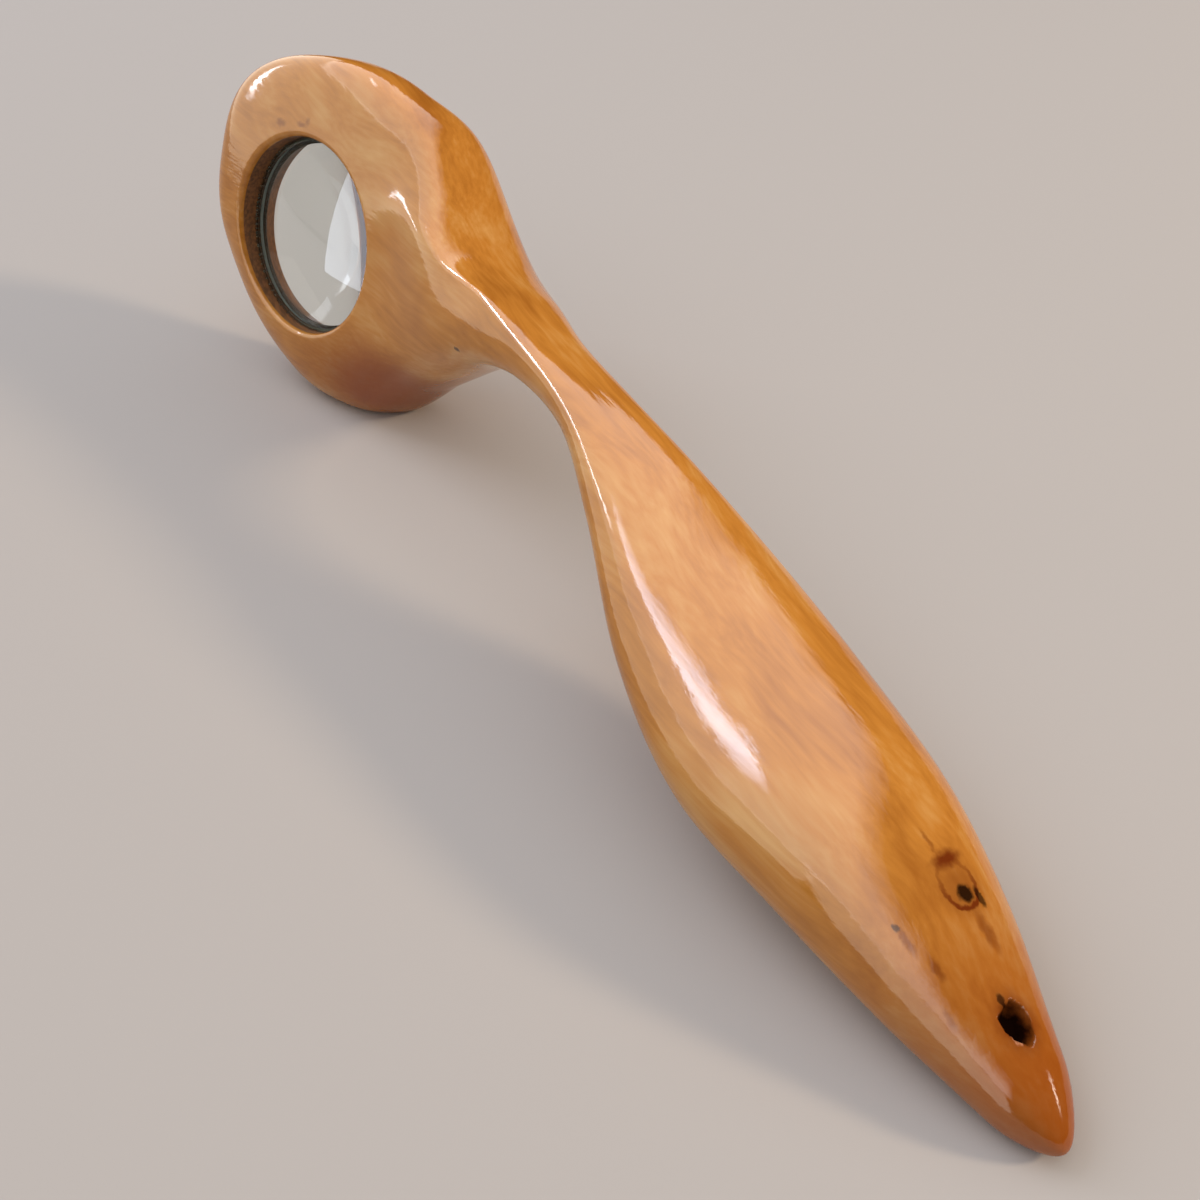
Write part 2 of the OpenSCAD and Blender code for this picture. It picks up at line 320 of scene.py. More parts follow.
def cad_origin(body, curves):
    """The CAD model's origin: the middle of its length and width, on the plane that it stands on."""
    coarse = places(body, CAD_STEP, CAD_END_STEPS, CAD_TIP_STEPS)
    rings = [section(body, curves, x, CAD_SIDES) for x in coarse]
    x, y, z = np.vstack([*end_points(body, curves), *rings]).T
    table_z = max(z[x < NECK_X].min(), z[x > NECK_X].min()) + body.flat_depth
    return np.array([body.overall_l / 2, (y.min() + y.max()) / 2, table_z])


class Skin:
    """Points, their normals and the faces of a surface, in millimetres."""

    def __init__(self, points, normals, faces):
        self.points = points
        self.normals = normals
        self.faces = faces
        self.kinds = ["skin"] * len(faces)

    def add(self, points, normals):
        """Adds points with normals and returns their numbers."""
        first = len(self.points)
        self.points = np.vstack([self.points, points])
        self.normals = np.vstack([self.normals, normals])
        return list(range(first, len(self.points)))

    def keep(self, level):
        """Drops what lies below level 0 and returns the loops of edges that this leaves open."""
        inside = level > 0
        made, follow, faces, kinds, points, normals = {}, {}, [], [], [], []
        for face, kind in zip(self.faces, self.kinds):
            count = sum(inside[i] for i in face)
            if count == len(face):
                faces.append(face)
                kinds.append(kind)
                continue
            if count == 0:
                continue
            corners = []
            for a, b in zip(face, face[1:] + face[:1]):
                if inside[a]:
                    corners.append(a)
                if inside[a] == inside[b]:
                    continue
                key = (min(a, b), max(a, b))
                if key not in made:
                    t = level[a] / (level[a] - level[b])
                    made[key] = len(self.points) + len(points)
                    points.append(self.points[a] * (1 - t) + self.points[b] * t)
                    normals.append(self.normals[a] * (1 - t) + self.normals[b] * t)
                corners.append(made[key])
                if inside[a]:
                    leaving = made[key]
                else:
                    entering = made[key]
            faces.append(tuple(corners))
            kinds.append(kind)
            follow[leaving] = entering
        self.faces, self.kinds = faces, kinds
        self.add(np.array(points), np.array(normals))
        loops = []
        while follow:
            loop = [next(iter(follow))]
            while loop[-1] in follow:
                loop.append(follow.pop(loop[-1]))
            loops.append(loop[:-1])
        return loops

    def strip(self, loop, row, kind):
        """Faces between an open loop and the next row of as many points."""
        for i in range(len(loop)):
            j = (i + 1) % len(loop)
            self.faces.append((loop[j], loop[i], row[i], row[j]))
            self.kinds.append(kind)


def carved_skin(body):
    """The closed outer surface of the wood, before the seat is bored and the flats are sanded."""
    curves = stations(body)
    origin = cad_origin(body, curves)
    grid = np.array([section(body, curves, x, body.sides) for x in drawn_places(body)]) - origin
    ends = [end - origin for end in end_points(body, curves)]
    grid = pitted(grid, body)
    normals = crested(grid, grid_normals(grid, ends))
    rings, sides = grid.shape[:2]
    points = np.vstack([ends[0], grid.reshape(-1, 3), ends[1]])
    normals = np.vstack([(-1, 0, 0), normals.reshape(-1, 3), (1, 0, 0)])
    last = 1 + (rings - 1) * sides
    faces = []
    for i in range(sides):
        j = (i + 1) % sides
        faces.append((0, 1 + j, 1 + i))
        for r in range(rings - 1):
            a, b = 1 + r * sides + i, 1 + r * sides + j
            faces.append((a, b, b + sides, a + sides))
        faces.append((last + i, last + j, last + sides))
    return Skin(points, normals, faces)


def unit(vectors):
    """The vectors that lie along the last axis, each made one long."""
    return vectors / np.linalg.norm(vectors, axis=-1, keepdims=True)


def grid_normals(grid, ends):
    """Outward normals of a grid of rings, from the slopes along and round it."""
    closed = [np.broadcast_to(end, grid[:1].shape) for end in ends]
    padded = np.concatenate([closed[0], grid, closed[1]])
    down = padded[2:] - padded[:-2]
    across = np.roll(grid, -1, 1) - np.roll(grid, 1, 1)
    return unit(np.cross(across, down))


def crested(grid, normals):
    """Normals that turn faster over the top of the head, which has a crisper crest than its sections."""
    x, up = grid[..., 0], normals[..., 2]
    there = rising(normals @ CREST_ASIDE, -0.3, 0.05) * rising(up, 0.1, 0.5)
    there *= rising(x, -108, -83) * rising(-x, 18, 38)
    return unit(normals + CREST_TURN * there[..., None] * CREST_ASIDE)


def rising(value, low, high):
    """A share that goes softly from 0 where a value is low to 1 where it is high."""
    t = np.clip((value - low) / (high - low), 0, 1)
    return t * t * (3 - 2 * t)


def pitted(grid, body):
    """The grid of rings with the pit of the open knot sunk into it, where the bark has fallen out."""
    up = unit(np.array(PIT_NORMAL))
    ahead = unit(np.cross(up, (0, -1, 0)))
    aside = np.cross(up, ahead)
    off = grid - np.array(PIT_AT)
    x, y = off @ ahead, off @ aside
    turn = np.arctan2(y / body.pit_w, x / body.pit_l)
    ragged = 1 + 0.1 * np.sin(3 * turn + 1.2) + 0.06 * np.sin(5 * turn) + 0.04 * np.sin(9 * turn + 2)
    # The rim is at 1, and the wall drops steeply from just outside it to halfway in.
    out = np.hypot(x / body.pit_l, y / body.pit_w) * 2 / ragged
    wall = np.clip((1.08 - out) / 0.5, 0, 1) ** 0.7
    near = np.abs(off @ up) < 2 * body.pit_depth
    return grid - up * (body.pit_depth * wall * near)[..., None]


def lens_matrix(body, lens):
    """Place of the lens in the frame of the CAD model, in millimetres, with +Z out of the front."""
    curves = stations(body)
    origin = cad_origin(body, curves)
    middle = (lens.lens_x - origin[0], along(curves["y"], lens.lens_x) - origin[1], lens.lens_rise)
    turn = Matrix.Rotation(math.radians(lens.lens_turn), 4, "Z")
    tilt = Matrix.Rotation(math.radians(90 - lens.lens_tilt), 4, "X")
    return Matrix.Translation(middle) @ turn @ tilt @ Matrix.Translation((0, 0, lens.lens_ahead))


def local(points, matrix):
    """Points in the lens's own frame."""
    inverse = np.array(matrix.inverted())
    return points @ inverse[:3, :3].T + inverse[:3, 3]


def placed(points, matrix):
    """Points of the lens's own frame, put where the lens is."""
    there = np.array(matrix)
    return points @ there[:3, :3].T + there[:3, 3]


def ball(lens):
    """Radius of the faces of the lens, and how far each ball's middle is from the lens's middle."""
    bulge = (lens.lens_t - lens.lens_edge_t) / 2
    radius = ((lens.lens_d / 2) ** 2 + bulge ** 2) / (2 * bulge)
    return radius, radius - lens.lens_t / 2


def bore(skin, body, lens):
    """Bores the seat and the flared opening behind it, with softened lips, into the skin."""
    # Places along the axis are measured from the middle of the lens towards the front.
    matrix = lens_matrix(body, lens)
    turn = np.array(matrix)[:3, :3]
    axis = turn[:, 2]
    bore_r = lens.lens_d / 2 + lens.lens_gap
    clear_r = lens.lens_d / 2 - lens.ledge_w
    radius, offset = ball(lens)
    ledge_z = offset - math.sqrt(radius ** 2 - clear_r ** 2) - lens.bed_t
    flare = math.tan(math.radians(lens.flare_angle))
    here = local(skin.points, matrix)
    behind = clear_r + body.back_lip_r + flare * np.maximum(-here[:, 2] - lens.flare_from, 0)
    level = np.hypot(here[:, 0], here[:, 1]) - np.where(here[:, 2] > 0, bore_r + body.lip_r, behind)
    rings = {}
    for loop in skin.keep(level):
        start, out = skin.points[loop], unit(skin.normals[loop])
        front = local(start, matrix)[0, 2] > 0
        lip_r = body.lip_r if front else body.back_lip_r
        radial = unit((local(start, matrix) * (1, 1, 0)) @ turn.T)
        inward = unit(-radial + (radial * out).sum(1)[:, None] * out)
        down = unit(-axis if front else axis - flare * radial)
        wall = unit(-radial if front else -radial - flare * axis)
        # The skin, carried on straight, meets the wall in a corner, which the lip rounds off.
        widening = 0 if front else -flare
        reach = lip_r / (widening * (inward @ axis) - (inward * radial).sum(1))
        corner = start + inward * reach[:, None]
        end = corner + down * lip_r
        row = loop
        for t in np.linspace(0, 1, LIP_STEPS + 1)[1:]:
            points = (1 - t) ** 2 * start + 2 * t * (1 - t) * corner + t ** 2 * end
            fresh = skin.add(points, unit((1 - t) * out + t * wall))
            skin.strip(row, fresh, "skin")
            row = fresh
        wall_r = bore_r if front else clear_r
        walls = [("wall", ledge_z)] if front else [("flare", -lens.flare_from), ("wall", ledge_z)]
        for kind, z in walls:
            flat = wall_r * unit(local(start, matrix) * (1, 1, 0))
            flat[:, 2] = z
            fresh = skin.add(placed(flat, matrix), -radial)
            skin.strip(row, fresh, kind)
            row = fresh
        rings[front] = row
    stitch(skin, rings[True], rings[False], matrix)


def stitch(skin, outer, inner, matrix):
    """The ledge: triangles between two rings of unlike numbers of points."""
    def turned(ring):
        here = local(skin.points[ring], matrix)
        turns = np.arctan2(here[:, 1], here[:, 0])
        order = np.argsort(turns)
        return [ring[i] for i in order], turns[order]
    outer, outer_turns = turned(outer)
    inner, inner_turns = turned(inner)
    i = j = 0
    while i < len(outer) or j < len(inner):
        next_outer = outer_turns[(i + 1) % len(outer)] + (2 * math.pi if i + 1 >= len(outer) else 0)
        next_inner = inner_turns[(j + 1) % len(inner)] + (2 * math.pi if j + 1 >= len(inner) else 0)
        a, b = outer[i % len(outer)], inner[j % len(inner)]
        if j >= len(inner) or (i < len(outer) and next_outer <= next_inner):
            i += 1
            skin.faces.append((a, outer[i % len(outer)], b))
        else:
            j += 1
            skin.faces.append((a, inner[j % len(inner)], b))
        skin.kinds.append("ledge")


def mesh_object(name, points, faces, normals=None, slots=None):
    """A piece from points in millimetres, its faces, and where given its corner normals and slots."""
    used = sorted({i for face in faces for i in face})
    renumbered = {old: new for new, old in enumerate(used)}
    points = points[used]
    faces = [tuple(renumbered[i] for i in face) for face in faces]
    mesh = bpy.data.meshes.new(name)
    mesh.from_pydata((points * MM).tolist(), [], faces)
    mesh.polygons.foreach_set("use_smooth", [True] * len(faces))
    if slots is not None:
        mesh.polygons.foreach_set("material_index", slots)
    if normals is not None:
        mesh.normals_split_custom_set(normals.tolist())
    piece = bpy.data.objects.new(name, mesh)
    bpy.context.scene.collection.objects.link(piece)
    return piece


def corner_normals(skin, lens, matrix):
    """One normal for each corner of each face: smooth over the lips, crisp at the edges of the seat."""
    turn = np.array(matrix)[:3, :3]
    radial = (local(skin.points, matrix) * (1, 1, 0)) @ turn.T
    # The small number keeps a point on the axis itself from being divided by zero.
    radial /= np.linalg.norm(radial, axis=1, keepdims=True) + 1e-9
    flare = math.radians(lens.flare_angle)
    by_kind = {
        "skin": skin.normals,
        "wall": -radial,
        "flare": -math.cos(flare) * radial - math.sin(flare) * turn[:, 2],
        "ledge": np.broadcast_to(turn[:, 2], radial.shape),
        "flat": np.broadcast_to((0, 0, -1), radial.shape),
    }
    return np.array([by_kind[kind][i] for face, kind in zip(skin.faces, skin.kinds) for i in face])


# Materials

# Numbers of the sockets of a Mix node, for plain numbers and for colours
NUMBER_A, NUMBER_B, COLOUR_A, COLOUR_B, COLOUR_OUT = 2, 3, 6, 7, 2


def node(tree, kind, inputs=None, **settings):
    """Adds a node with its settings, and sets or links its inputs."""
    made = tree.nodes.new(kind)
    for name, value in settings.items():
        setattr(made, name, value)
    for key, value in (inputs or {}).items():
        socket = made.inputs[key]
        if isinstance(value, bpy.types.NodeSocket):
            tree.links.new(value, socket)
        else:
            socket.default_value = value
    return made


def new_material(name):
    """An empty material and the node tree of it."""
    material = bpy.data.materials.new(name)
    material.use_nodes = True
    material.node_tree.nodes.clear()
    return material, material.node_tree


def finish_material(tree, shader):
    """Links the shader to the material's output."""
    node(tree, "ShaderNodeOutputMaterial", {"Surface": shader.outputs[0]})


def rgba(value):
    """A colour with full alpha."""
    return (*value, 1)


def in_millimetres(tree):
    """The place of each point of the piece, in millimetres."""
    place = node(tree, "ShaderNodeTexCoord").outputs["Object"]
    return node(tree, "ShaderNodeVectorMath", {0: place, "Scale": 1000}, operation="SCALE").outputs[0]


def blotches(tree, mm, size, detail=2, turn=(0, 0, 0), output=0):
    """Noise whose blotches have about the given size in millimetres along X, Y and Z."""
    scale = [1 / length_mm for length_mm in size]
    at = node(tree, "ShaderNodeMapping", {"Vector": mm, "Rotation": turn, "Scale": scale}).outputs[0]
    return node(tree, "ShaderNodeTexNoise", {"Vector": at, "Scale": 1, "Detail": detail}).outputs[output]


def wandering(tree, mm, size, reach):
    """Places pushed about by up to half the reach, in waves of about the given size."""
    push = blotches(tree, mm, size, output=1)
    push = node(tree, "ShaderNodeVectorMath", {0: push, 1: (0.5, 0.5, 0.5)}, operation="SUBTRACT")
    push = node(tree, "ShaderNodeVectorMath", {0: push.outputs[0], "Scale": reach}, operation="SCALE")
    return node(tree, "ShaderNodeVectorMath", {0: mm, 1: push.outputs[0]}).outputs[0]


def stained(tree, colour, stain, value, low, high, strength=1):
    """Lays a stain on a colour, from none where a value is low to its full strength where it is high."""
    amount = node(tree, "ShaderNodeMapRange", {
        "Value": value, "From Min": low, "From Max": high, "To Max": strength},
        interpolation_type="SMOOTHSTEP").outputs[0]
    return node(tree, "ShaderNodeMix", {
        0: amount, COLOUR_A: colour, COLOUR_B: rgba(stain)}, data_type="RGBA").outputs[COLOUR_OUT]


def set_stops(ramp, pairs):
    """Gives a colour ramp its places and the colours there."""
    elements = ramp.color_ramp.elements
    for element, (place, value) in zip((elements[0], elements[-1]), (pairs[0], pairs[-1])):
        element.position = place
        element.color = rgba(value)
    for place, value in pairs[1:-1]:
        elements.new(place).color = rgba(value)


def away_from(tree, mm, middle, radii):
    """Distance from a point in the wood, where 1 is the surface of an ellipsoid with these radii."""
    at = node(tree, "ShaderNodeMapping", {
        "Vector": mm, "Location": middle, "Scale": radii}, vector_type="TEXTURE")
    return node(tree, "ShaderNodeVectorMath", {0: at.outputs[0]}, operation="LENGTH").outputs["Value"]


def lacquered_wood(colours):
    """Knotty fruitwood, carved and sanded: honey-coloured figure under a clear, glossy lacquer."""
    material, tree = new_material("lacquered_wood")
    mm = in_millimetres(tree)
    grain = wandering(tree, mm, (40, 18, 18), 9)

    # Clouds and a slanting mottle make the figure. Real pores and fibres are a tenth of a millimetre
    # wide or less, and are drawn as streaks 0.9 mm wide, so that they show.
    clouds = blotches(tree, grain, (42, 15, 15), 3)
    mottle = blotches(tree, grain, (13, 4, 6), 2, (0, 0, math.radians(38)))
    fibres = blotches(tree, grain, (16, 0.9, 0.9), 4)
    figure = node(tree, "ShaderNodeMix", {
        0: 0.35, NUMBER_A: clouds, NUMBER_B: mottle}, data_type="FLOAT").outputs[0]
    figure = node(tree, "ShaderNodeMix", {
        0: 0.22, NUMBER_A: figure, NUMBER_B: fibres}, data_type="FLOAT").outputs[0]
    ramp = node(tree, "ShaderNodeValToRGB", {"Fac": figure})
    set_stops(ramp, [(0.36, colours.wood_deep), (0.5, colours.wood_honey), (0.64, colours.wood_pale)])

    # The heartwood reddens over the last 40 mm of the handle, and a reddish painted shade darkens the
    # wood under the head.
    x = node(tree, "ShaderNodeSeparateXYZ", {0: mm}).outputs[0]
    colour = stained(tree, ramp.outputs[0], colours.wood_tip, x, 80, 121, 0.8)
    painted_shade_under_head = away_from(tree, grain, (-62, -7, 10), (34, 16, 13))
    colour = stained(tree, colour, colours.ruddy_shade_under_head, painted_shade_under_head, 1.2, 0.3, 0.85)
    colour = knots(tree, mm, colour, colours)

    # The lacquer sinks into a fine ripple along the grain, and leaves the pit of the open knot bare.
    _, pit, pit_radii, _ = OPEN_KNOT_AND_PIT_SHADE
    bare = away_from(tree, mm, pit, (pit_radii[0] + 0.1, pit_radii[1] + 0.15, pit_radii[2]))
    lacquer = node(tree, "ShaderNodeMapRange", {
        "Value": bare, "From Min": 0.95, "From Max": 1.05}, interpolation_type="SMOOTHSTEP").outputs[0]
    ripple = node(tree, "ShaderNodeMix", {
        0: 0.3, NUMBER_A: blotches(tree, grain, (5, 1.1, 1.1)), NUMBER_B: fibres}, data_type="FLOAT")
    bump = node(tree, "ShaderNodeBump", {
        "Strength": 1, "Distance": 0.05 * MM, "Height": ripple.outputs[0]}).outputs[0]
    shader = node(tree, "ShaderNodeBsdfPrincipled", {
        "Base Color": colour, "Roughness": 0.42, "Specular IOR Level": 0, "Normal": bump,
        "Coat Weight": lacquer, "Coat Roughness": 0.09, "Coat IOR": 1.5, "Coat Normal": bump})
    finish_material(tree, shader)
    return material


# Knots and the stains round them, in millimetres in the frame of the CAD model: what it is, its
# middle, its radii along and across the wood and into it, and its strength
# The open knot is dark knot wood, and its near-black middle is painted shade deep in the pit.
OPEN_KNOT_AND_PIT_SHADE = ("open knot", (107.6, -1.0, 10.4), (2.9, 2.0, 4.5), 1)
KNOTS = (
    OPEN_KNOT_AND_PIT_SHADE,
    ("tail of the open knot", (105.3, -1.3, 13.0), (1.4, 0.4, 0.8), 0.8),
    ("knot with a bark ring", (93.3, 2.4, 18.5), (1.35, 1.25, 1.8), 0.95),
    ("bark beside it", (94.3, 4.1, 17.6), (1.5, 0.5, 1.5), 0.8),
    ("pin knot", (92.4, -8.3, 17.9), (0.8, 0.4, 0.8), 0.75),
    ("pin knot under the neck", (-33.7, -4.3, 33.2), (0.85, 0.7, 0.7), 0.85),
)
STAINS = (
    ("round the open knot", (107.8, -0.9, 11.8), (4.2, 3.1, 3.5), 0.85),
    ("round the upper knot", (92.6, 2.4, 18.7), (4.4, 3.6, 4.0), 0.45),
    ("smear above the upper knot", (88.9, 2.7, 20.4), (1.2, 2.7, 1.8), 1),
    ("thread above the smear", (86.0, 1.8, 21.5), (2.6, 0.35, 1.5), 0.5),
    ("streak under the upper knot", (98.0, 2.2, 16.2), (4.0, 0.9, 2.0), 0.6),
    ("mark in the handle", (98.8, -6.5, 15.7), (1.7, 0.6, 1.5), 0.6),
    ("mark near the tip", (103.6, -8.1, 12.5), (1.8, 0.5, 1.5), 0.4),
    ("trail of the pin knot", (94.4, -8.0, 17.2), (2.4, 0.5, 1.5), 0.6),
    ("trail beside the neck's pin knot", (-28.5, -3.9, 33.6), (4.5, 0.4, 0.8), 0.35),
    ("fleck above the mouth", (-98.0, -9.0, 52.6), (1.5, 1.6, 0.8), 0.55),
    ("fleck beside it", (-92.6, -6.8, 53.6), (1.3, 1.6, 0.5), 0.55),
    ("fleck beside that", (-91.3, -5.9, 54.5), (0.7, 1.6, 0.9), 0.45),
)

# The thin ring of bark round the upper knot, and a chip of paler wood low in the open knot's pit
RING_AT, RING_RADII = (91.9, 2.2, 19.0), (3.3, 2.5, 4.0)
CHIP_AT, CHIP_RADII = (109.0, -2.1, 9.8), (1.3, 0.8, 2.4)


def knots(tree, mm, colour, colours):
    """Lays the knots, the painted shade in the open knot's pit, and the stains round them, over the
    colour of the wood.
    """
    there = wandering(tree, mm, (1.2, 1.2, 1.2), 1.1)
    for _, middle, radii, strength in STAINS:
        off = away_from(tree, there, middle, radii)
        colour = stained(tree, colour, colours.knot_edge, off, 1.3, 0.3, strength)

    # The ring of bark is darkest on the side of the tip.
    off = away_from(tree, there, RING_AT, RING_RADII)
    off = node(tree, "ShaderNodeMath", {0: off, 1: 1}, operation="SUBTRACT").outputs[0]
    off = node(tree, "ShaderNodeMath", {0: off}, operation="ABSOLUTE").outputs[0]
    x = node(tree, "ShaderNodeSeparateXYZ", {0: mm}).outputs[0]
    strength = node(tree, "ShaderNodeMapRange", {
        "Value": x, "From Min": 88.5, "From Max": 95, "To Min": 0.25},
        interpolation_type="SMOOTHSTEP").outputs[0]
    colour = stained(tree, colour, colours.knot_edge, off, 0.16, 0.04, strength)

    # The open knot's entry also lays the painted shade in its pit.
    for _, middle, radii, strength in KNOTS:
        off = away_from(tree, there, middle, radii)
        colour = stained(tree, colour, colours.knot, off, 1.15, 0.6, strength)
    off = away_from(tree, there, CHIP_AT, CHIP_RADII)
    return stained(tree, colour, colours.wood_bare, off, 1.1, 0.8)


def turned_wood(colours):
    """The same wood on the wall of the bored seat, coloured darker and duller."""
    material, tree = new_material("turned_wood")
    grain = blotches(tree, in_millimetres(tree), (8, 0.7, 0.7), 3)
    ramp = node(tree, "ShaderNodeValToRGB", {"Fac": grain})
    pores = [c * 0.45 for c in colours.wood_bore]
    set_stops(ramp, [(0.35, pores), (0.62, colours.wood_bore)])
    shader = node(tree, "ShaderNodeBsdfPrincipled", {"Base Color": ramp.outputs[0], "Roughness": 0.55})
    finish_material(tree, shader)
    return material


def crown_glass(colours):
    """Ground and polished crown glass: clear, with a trace of green, and mirror-smooth."""
    material, tree = new_material("crown_glass")
    shader = node(tree, "ShaderNodeBsdfPrincipled", {
        "Base Color": rgba(colours.glass), "Roughness": 0.0, "IOR": 1.52, "Transmission Weight": 1})
    finish_material(tree, shader)
    return material


def ground_glass(colours):
    """The lens's edge as the grinding wheel left it: grey-green and matt."""
    material, tree = new_material("ground_glass")
    shader = node(tree, "ShaderNodeBsdfPrincipled", {
        "Base Color": rgba(colours.glass_edge), "Roughness": 0.6, "IOR": 1.52})
    finish_material(tree, shader)
    return material


def clear_cement(colours):
    """Clear two-part cement: see-through, a little hazy and slightly yellowed."""
    material, tree = new_material("clear_cement")
    shader = node(tree, "ShaderNodeBsdfPrincipled", {
        "Base Color": rgba(colours.cement), "Roughness": 0.25, "IOR": 1.5, "Transmission Weight": 1})
    finish_material(tree, shader)
    return material


def painted_floor(colours):
    """A plain matt floor: even and pale, so that it takes the shadow and nothing else shows on it."""
    material, tree = new_material("painted_floor")
    shader = node(tree, "ShaderNodeBsdfPrincipled", {
        "Base Color": rgba(colours.floor), "Roughness": 0.6, "Specular IOR Level": 0})
    finish_material(tree, shader)
    return material


# Operators

class MAGNIFIER_OT_wooden_body(bpy.types.Operator):
    """Carve the head, neck and handle from one piece, with the seat for the lens"""
    bl_idname = "magnifier.wooden_body"
    bl_label = "Wooden Body"

    def execute(self, context):
        props = context.scene.magnifier
        body, lens = Plain(props.body), Plain(props.lens)
        skin = carved_skin(body)
        for loop in skin.keep(skin.points[:, 2]):
            skin.faces.append(tuple(reversed(loop)))
            skin.kinds.append("flat")
        bore(skin, body, lens)
        slots = [1 if kind in {"wall", "flare", "ledge"} else 0 for kind in skin.kinds]
        normals = corner_normals(skin, lens, lens_matrix(body, lens))
        piece = mesh_object("carved_wood", skin.points, skin.faces, normals, slots)
        piece.data.materials.append(lacquered_wood(props.colours))
        piece.data.materials.append(turned_wood(props.colours))
        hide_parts("wooden_body")
        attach(piece, "root")
        return {"FINISHED"}


# Points round the lens and rows of points from the middle of each face to its bevel, how far a
# bevel cuts into the edge for each millimetre of its width, and the angle at which edges are crisp
LENS_SIDES, FACE_STEPS = 192, 48
BEVEL_STEEPNESS = 0.6
CRISP_FROM = math.radians(25)


class MAGNIFIER_OT_lens(bpy.types.Operator):
    """Grind the lens, with its two curved faces, bevels and matt edge"""
    bl_idname = "magnifier.lens"
    bl_label = "Lens"

    def execute(self, context):
        props = context.scene.magnifier
        body, lens = Plain(props.body), Plain(props.lens)
        radius, offset = ball(lens)
        edge_r, sides = lens.lens_d / 2, LENS_SIDES
        out = np.linspace(0, edge_r - lens.bevel, FACE_STEPS + 1)[1:]
        face = [(r, math.sqrt(radius ** 2 - r ** 2) - offset) for r in out]
        rim = lens.lens_edge_t / 2 - BEVEL_STEEPNESS * lens.bevel
        profile = face + [(edge_r, rim), (edge_r, -rim)] + [(r, -z) for r, z in reversed(face)]
        ground = range(len(face) - 1, len(face) + 2)
        turns = 2 * np.pi * np.arange(sides) / sides
        points = [(0, 0, lens.lens_t / 2), (0, 0, -lens.lens_t / 2)]
        for r, z in profile:
            points += [(r * math.cos(a), r * math.sin(a), z) for a in turns]
        faces, slots = [], []
        for i in range(sides):
            j = (i + 1) % sides
            faces.append((0, 2 + i, 2 + j))
            slots.append(0)
            for k in range(len(profile) - 1):
                a, b = 2 + k * sides + i, 2 + k * sides + j
                faces.append((a, a + sides, b + sides, b))
                slots.append(1 if k in ground else 0)
            last = 2 + (len(profile) - 1) * sides
            faces.append((last + j, last + i, 1))
            slots.append(0)
        points = placed(np.array(points), lens_matrix(body, lens))
        piece = mesh_object("glass_lens", points, faces, slots=slots)
        piece.data.set_sharp_from_angle(angle=CRISP_FROM)
        piece.data.materials.append(crown_glass(props.colours))
        piece.data.materials.append(ground_glass(props.colours))
        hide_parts("lens")
        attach(piece, "root")
        return {"FINISHED"}


class MAGNIFIER_OT_cements(bpy.types.Operator):
    """Give the two rings of cement that hold the lens their clear finish"""
    bl_idname = "magnifier.cements"
    bl_label = "Cements"

    def execute(self, context):
        material = clear_cement(context.scene.magnifier.colours)
        for name in ("seat_cement", "rim_cement"):
            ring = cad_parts[name]
            ring.data.materials.clear()
            ring.data.materials.append(material)
        return {"FINISHED"}


# Stage: the camera's place and direction in the frame of the CAD model, and its lens on a 36 mm
# wide film. Lamps are placed by their bearing to the right of the camera's, and their height.
CAMERA_AT = Vector((156.55, -90.12, 160.30)) * MM
VIEW = Vector((-0.635, 0.386, -0.669))
LENS_MM, FILM_MM = 40.5, 36

# Half the side of the floor in millimetres, the ceiling's bearing in degrees, the distance of its
# far edge in metres, and the number of sheets that soften its right edge
FLOOR_HALF = 4000
CEILING_AZ, CEILING_FAR = 22, 1.54
SHEEN_SHEETS = 4


def bearing(az, el):
    """Direction to a bearing right of the camera's and a height over the table, in degrees."""
    ahead = Vector((VIEW.x, VIEW.y, 0)).normalized()
    right = Vector((ahead.y, -ahead.x, 0))
    az, el = math.radians(az), math.radians(el)
    flat = math.sin(az) * right + math.cos(az) * ahead
    return math.cos(el) * flat + Vector((0, 0, math.sin(el)))


def area_lamp(name, size, colour_hex, radiance, spread=180, receiver=None, **seen):
    """A rectangular lamp whose brightness is given as its radiance instead of its power."""
    data = bpy.data.lights.new(name, "AREA")
    data.shape = "RECTANGLE"
    data.size, data.size_y = size
    data.color = srgb(colour_hex)
    # Blender makes a lamp of narrow spread brighter, and the last factor takes that back.
    half = math.radians(spread) / 2
    data.spread = 2 * half
    data.energy = radiance * size[0] * size[1] * math.pi * (1 - half / math.tan(half))
    lamp = bpy.data.objects.new(name, data)
    lamp.visible_camera = False
    if receiver:
        lamp.light_linking.receiver_collection = receiver
    for key, value in seen.items():
        setattr(lamp, key, value)
    bpy.context.scene.collection.objects.link(lamp)
    return lamp


def card(name, start, end, wide, distance, colour_hex, radiance, target=(0, 0, 0), **more):
    """A lamp that faces a target in millimetres.

    It reaches from one bearing and height to another, and is some degrees wide across that.
    """
    target = Vector(target) * MM
    ends = [target + bearing(*there) * distance for there in (start, end)]
    middle = (ends[0] + ends[1]) / 2
    along_x, away = (ends[1] - ends[0]).normalized(), (middle - target).normalized()
    across = 2 * (middle - target).length * math.tan(math.radians(wide) / 2)
    lamp = area_lamp(name, ((ends[1] - ends[0]).length, across), colour_hex, radiance, **more)
    turn = Matrix((along_x, away.cross(along_x), away)).transposed()
    lamp.matrix_world = Matrix.Translation(middle) @ turn.to_4x4()


